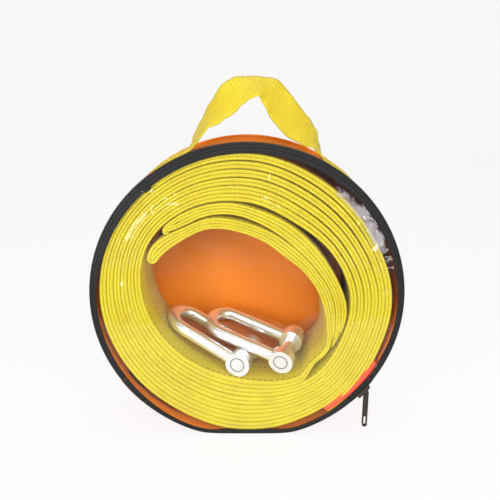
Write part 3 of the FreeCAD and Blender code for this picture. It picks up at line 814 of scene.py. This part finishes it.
def eye_band():
    """The flattened eye: two folded bands up the right side and over the top to their folds at the left."""
    radius, pitch, angle = coil_place(TURNS)
    coil_end = (angle - 0.5, radius, pitch * 0.9)
    inner_band, inner_length = folded_band(HOLE_EDGE, FIRST_EDGE, -45, 151, 5.2, 23.0, coil_end)
    outer_band, outer_length = folded_band(SECOND_EDGE, LAST_EDGE, EYE_LOW, 134, 4.4, 31.0)
    eye = join_plies("tow_strap_eye", inner_band + outer_band, mats["strap"])
    made(eye, "bag", "strap", "strap_inner_eye", "strap_eye_splice")


def sleeve():
    """The red sleeve over the strap's outer end: a flattened tube of thin cloth."""
    start, end = -56.2, -27.4
    steps = 40
    outer = [polar(start + (end - start) * i / steps, CHAIN - 1.7, 0) for i in range(steps + 1)]
    points, uvs = [], []
    low, high = STRAP_FRONT - 0.25, STRAP_BACK + 0.25
    section = ((0, low + 1.2), (1.0, low + 0.25), (2.7, low), (4.4, low + 0.25), (5.2, low + 1.2))
    section += ((5.2, high - 1.2), (2.7, high), (0, high - 1.2))
    for i, place in enumerate(outer):
        inward = (Vector((0, 0, CENTRE)) - place).normalized()
        for depth, y in section:
            spot = place + inward * depth
            spot.y = y + 0.15 * wobble(i * 0.3, depth, seed=12.0)
            points.append(spot)
            uvs.append((i * 0.00125, y * MM))
    faces = grid_faces(steps + 1, len(section), False, True) + end_faces(len(section), len(points))
    cloth = mesh_piece("red_sleeve", points, faces, mats["red"], uvs)
    made(cloth, "bag", "red_sleeve", "strap_red_sleeve")


# ---------------------------------------------------------------- the carry handle


# How far across the webbing's two roots stand.
ROOTS = (-39.0, 49.0)
# The webbing from root to root: its middle, and half of the way from its rear edge to its front edge.
HANDLE = (
    ((-37.6, 0.0, 204.4), (1.2, -12.4, 0.0)),
    ((-34.2, -0.5, 210.5), (2.6, -12.2, -0.6)),
    ((-29.2, -1.6, 218.5), (2.9, -12.0, -1.6)),
    ((-20.9, -3.6, 227.5), (4.0, -10.4, -5.6)),
    ((-12.3, -5.2, 236.3), (4.6, -8.0, -8.4)),
    ((-5.2, -6.2, 241.8), (3.6, -9.0, -7.9)),
    ((1.4, -6.5, 243.6), (1.4, -10.6, -6.6)),
    ((8.6, -6.6, 244.2), (-1.6, -11.0, -5.8)),
    ((15.9, -6.5, 240.6), (-5.6, -8.9, -6.9)),
    ((24.0, -5.5, 229.6), (-8.2, -7.6, -5.7)),
    ((33.3, -4.0, 218.6), (-8.2, -7.9, -5.3)),
    ((42.0, -2.0, 211.2), (-5.3, -10.5, -4.3)),
    ((47.4, 0.0, 205.0), (-2.6, -12.2, -0.6)),
)


def handle():
    """One length of webbing: along the gusset, up from its left root, over and down again."""
    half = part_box("handle_foot_left")[1].y / MM
    lie = CHAIN + 0.9
    left_root, right_root = (math.degrees(math.acos(across / lie)) for across in ROOTS)
    flat = Vector((0, -half, 0))
    foot = [2.6 * i for i in range(6)]
    stations = [(polar(left_root + 15.0 - angle, lie - 0.1, 0), flat) for angle in foot]
    stations += [(Vector(middle), Vector(lean)) for middle, lean in HANDLE]
    stations.append((polar(right_root - 1.6, lie + 0.1, 0), flat))
    stations += [(polar(right_root - 2.2 - angle, lie - 0.1, 0), flat) for angle in foot]
    middles = curve_through([middle for middle, lean in stations], 1.6)
    reached = [0.0]
    for here, there in zip(stations, stations[1:]):
        reached.append(reached[-1] + (there[0] - here[0]).length)
    leans = []
    rows, columns = len(middles), 13
    for i in range(rows):
        goal = reached[-1] * i / (rows - 1)
        index = max(n for n in range(len(reached) - 1) if reached[n] <= goal + 1e-6)
        t = (goal - reached[index]) / (reached[index + 1] - reached[index])
        lean = stations[index][1].lerp(stations[index + 1][1], t * t * (3 - 2 * t))
        leans.append(lean.normalized() * half)
    points, uvs = [], []
    for layer in (1, -1):
        run = 0.0
        for i, place in enumerate(middles):
            along = (middles[min(i + 1, rows - 1)] - middles[max(i - 1, 0)]).normalized()
            out = along.cross(leans[i]).normalized()
            if i:
                run += (place - middles[i - 1]).length
            for j in range(columns):
                share = 2 * j / (columns - 1) - 1
                wall = 0.8 * (1 - 0.6 * smooth(0.8, 1.0, abs(share)))
                points.append(place + leans[i] * share - out * (wall * layer))
                uvs.append((run * MM, (share + 1) * half * MM))
    faces = grid_faces(rows, columns)
    back = rows * columns
    faces += [tuple(back + n for n in reversed(face)) for face in grid_faces(rows, columns)]
    for i in range(rows - 1):
        a, b = i * columns, (i + 1) * columns
        faces.append((a, back + a, back + b, b))
        a, b = a + columns - 1, b + columns - 1
        faces.append((b, back + b, back + a, a))
    for j in range(columns - 1):
        faces.append((j + 1, back + j + 1, back + j, j))
        a = (rows - 1) * columns + j
        faces.append((a, back + a, back + a + 1, a + 1))
    band = mesh_piece("carry_webbing", points, faces, mats["handle"], uvs)
    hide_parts("handle_loop", "handle_foot_left", "handle_foot_right")
    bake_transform(band)

    box_stitch(left_root, right_root, lie + 0.75, half)


def box_stitch(left_root, right_root, radius, half):
    """Threads round each sewn foot of the webbing, and a cross over it."""
    threads = []
    near, far, edge = 3.0, 12.5, 0.8
    for root, turn in ((left_root, 1), (right_root, -1)):
        for corner in (near, far):
            angle = root + turn * corner
            out = (polar(angle, 1, 0) - Vector((0, 0, CENTRE))).normalized()
            for n in range(12):
                y = half * (edge - 2 * edge * n / 11)
                threads.append((polar(angle, radius, y), Vector((0, 1, 0)), out))
        for n in range(9):
            angle = root + turn * (3.6 + 8.4 * n / 8)
            out = (polar(angle, 1, 0) - Vector((0, 0, CENTRE))).normalized()
            for share in (-edge, edge, -edge + 2 * edge * n / 8, edge - 2 * edge * n / 8):
                along = Vector((-out.z, 0, out.x))
                if abs(share) < edge - 0.01:
                    along = (along + Vector((0, turn * math.copysign(0.9, share), 0))).normalized()
                threads.append((polar(angle, radius, share * half), along, out))
    sewn = stitches("handle_box_stitch", threads, 1.5, 0.2, mats["thread"])
    made(sewn, "bag", "thread", "handle_stitching")


# ---------------------------------------------------------------- the shackles


# Which way each pin points, from its flush end to its head.
PIN_AXES = {"left": (0.268, 0.963, -0.035), "right": (0.303, 0.946, 0.116)}


def pin_end(side, axis):
    """The fine dark joint line round the pin's end, where it sits flush in its ear."""
    axis = Vector(axis).normalized()
    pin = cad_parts[f"shackle_pin_{side}"]
    spots = [pin.matrix_world @ vertex.co / MM for vertex in pin.data.vertices]
    end = min(spot.dot(axis) for spot in spots)
    rim = [spot for spot in spots if spot.dot(axis) < end + 0.05]
    middle = sum(rim, Vector()) / len(rim)
    radius = max((spot - middle).length for spot in rim)
    across = axis.cross(Vector((0, 0, 1))).normalized()
    up = axis.cross(across)
    turns = [2 * math.pi * i / 48 for i in range(48)]
    circle = [middle + (across * math.cos(turn) + up * math.sin(turn)) * radius for turn in turns]
    line = tube(f"pin_joint_line_{side}", circle, 0.32, 8, mats["joint"], True)
    made(line, f"screw_pin_{side}", "zinc")


def shackles():
    """Bright zinc with softened edges, and the joint line of each pin."""
    for side, axis in PIN_AXES.items():
        for node in (f"shackle_bow_{side}", f"shackle_pin_{side}"):
            dress("zinc", node)
            soften(node, 0.45)
        pin_end(side, axis)


# ---------------------------------------------------------------- stage


def stage():
    """A white table that curves up behind, soft lamps and the camera."""
    table = Shader("table_white")
    table.set(Roughness=0.9)
    ray = table.tree.nodes.new("ShaderNodeLightPath").outputs
    # Glossy rays see a dark table, apart from a pale strip in front of the bag and under its front half.
    strip_front, strip_back = -0.235, 0.0
    depth = table.axes()["Y"]
    behind = table.maths("GREATER_THAN", depth, strip_front)
    strip = table.maths("MULTIPLY", behind, table.maths("LESS_THAN", depth, strip_back))
    mirrored = table.mix(strip, (0.12, 0.118, 0.115), (0.8, 0.8, 0.79))
    table.set(Base_Color=table.mix(ray["Is Glossy Ray"], (0.92, 0.915, 0.915), mirrored))
    # The camera sees the table mostly as plain white, with the object's shadow left on it.
    glow = table.add("ShaderNodeEmission", {"Color": (0.99, 0.985, 0.985, 1), "Strength": 1.0})
    seen = table.maths("MULTIPLY", ray["Is Camera Ray"], 0.86)
    table.show(table.layer(seen, table.surface.outputs[0], glow))
    front_edge, sides = -397, (-3000, 3000)
    rise = ((front_edge, 0), (900, 0), (1200, 20), (1500, 120), (1700, 350), (1800, 800), (1800, 2600))
    points = [(x, y, z) for y, z in rise for x in sides]
    mesh_piece("cove", points, grid_faces(len(rise), 2), table.material)
    points = [(x, y, 0) for y in (-560, front_edge) for x in sides]
    front = plain("board_white", (0.42, 0.42, 0.41), 0.9)
    mesh_piece("front_board", points, grid_faces(2, 2), front)

    world = bpy.data.worlds.new("studio")
    bpy.context.scene.world = world
    world.use_nodes = True
    tree = world.node_tree
    room = tree.nodes["Background"]
    room.inputs[0].default_value = (1, 0.995, 0.985, 1)
    ray = tree.nodes.new("ShaderNodeLightPath")
    level = tree.nodes.new("ShaderNodeMath")
    level.operation = "MULTIPLY_ADD"
    level.inputs[1].default_value = 0.05
    level.inputs[2].default_value = 0.33
    tree.links.new(ray.outputs["Is Glossy Ray"], level.inputs[0])
    tree.links.new(level.outputs[0], room.inputs[1])

    def lamp(name, place, aim, width, height, power):
        data = bpy.data.lights.new(name, "AREA")
        data.shape = "RECTANGLE"
        data.size, data.size_y = width, height
        data.energy = power
        item = bpy.data.objects.new(name, data)
        bpy.context.scene.collection.objects.link(item)
        item.location = place
        item.rotation_euler = (Vector(aim) - Vector(place)).to_track_quat("-Z", "Y").to_euler()

    lamp("front", (0.1, -1.25, 0.9), (0, 0, 0.1), 1.0, 0.5, 11.5)
    lamp("top", (0.0, 0.0, 1.3), (0, 0, 0.1), 1.1, 0.9, 5.5)
    lamp("left", (-1.0, -1.0, 0.38), (0, 0, 0.1), 0.5, 0.7, 6.5)
    lamp("low", (-0.8, -1.15, 0.1), (0, 0, 0.1), 0.5, 0.5, 5)
    lamp("right", (1.0, -1.0, 0.42), (0, 0, 0.1), 0.45, 0.8, 6.5)

    distance, tilt = 0.430, math.radians(16.5)
    data = bpy.data.cameras.new("camera")
    data.sensor_width = 36
    data.lens = 43.3
    data.clip_start = 0.01
    camera = bpy.data.objects.new("camera", data)
    bpy.context.scene.collection.objects.link(camera)
    aim = Vector((2.1, 0, 131)) * MM
    camera.location = aim + Vector((0, -math.cos(tilt), math.sin(tilt))) * distance
    camera.rotation_euler = (aim - camera.location).to_track_quat("-Z", "Y").to_euler()
    bpy.context.scene.camera = camera
    bpy.context.scene.view_settings.view_transform = "Standard"


shell()
zip_parts()
strap_coil()
eye_band()
sleeve()
handle()
shackles()
stage()
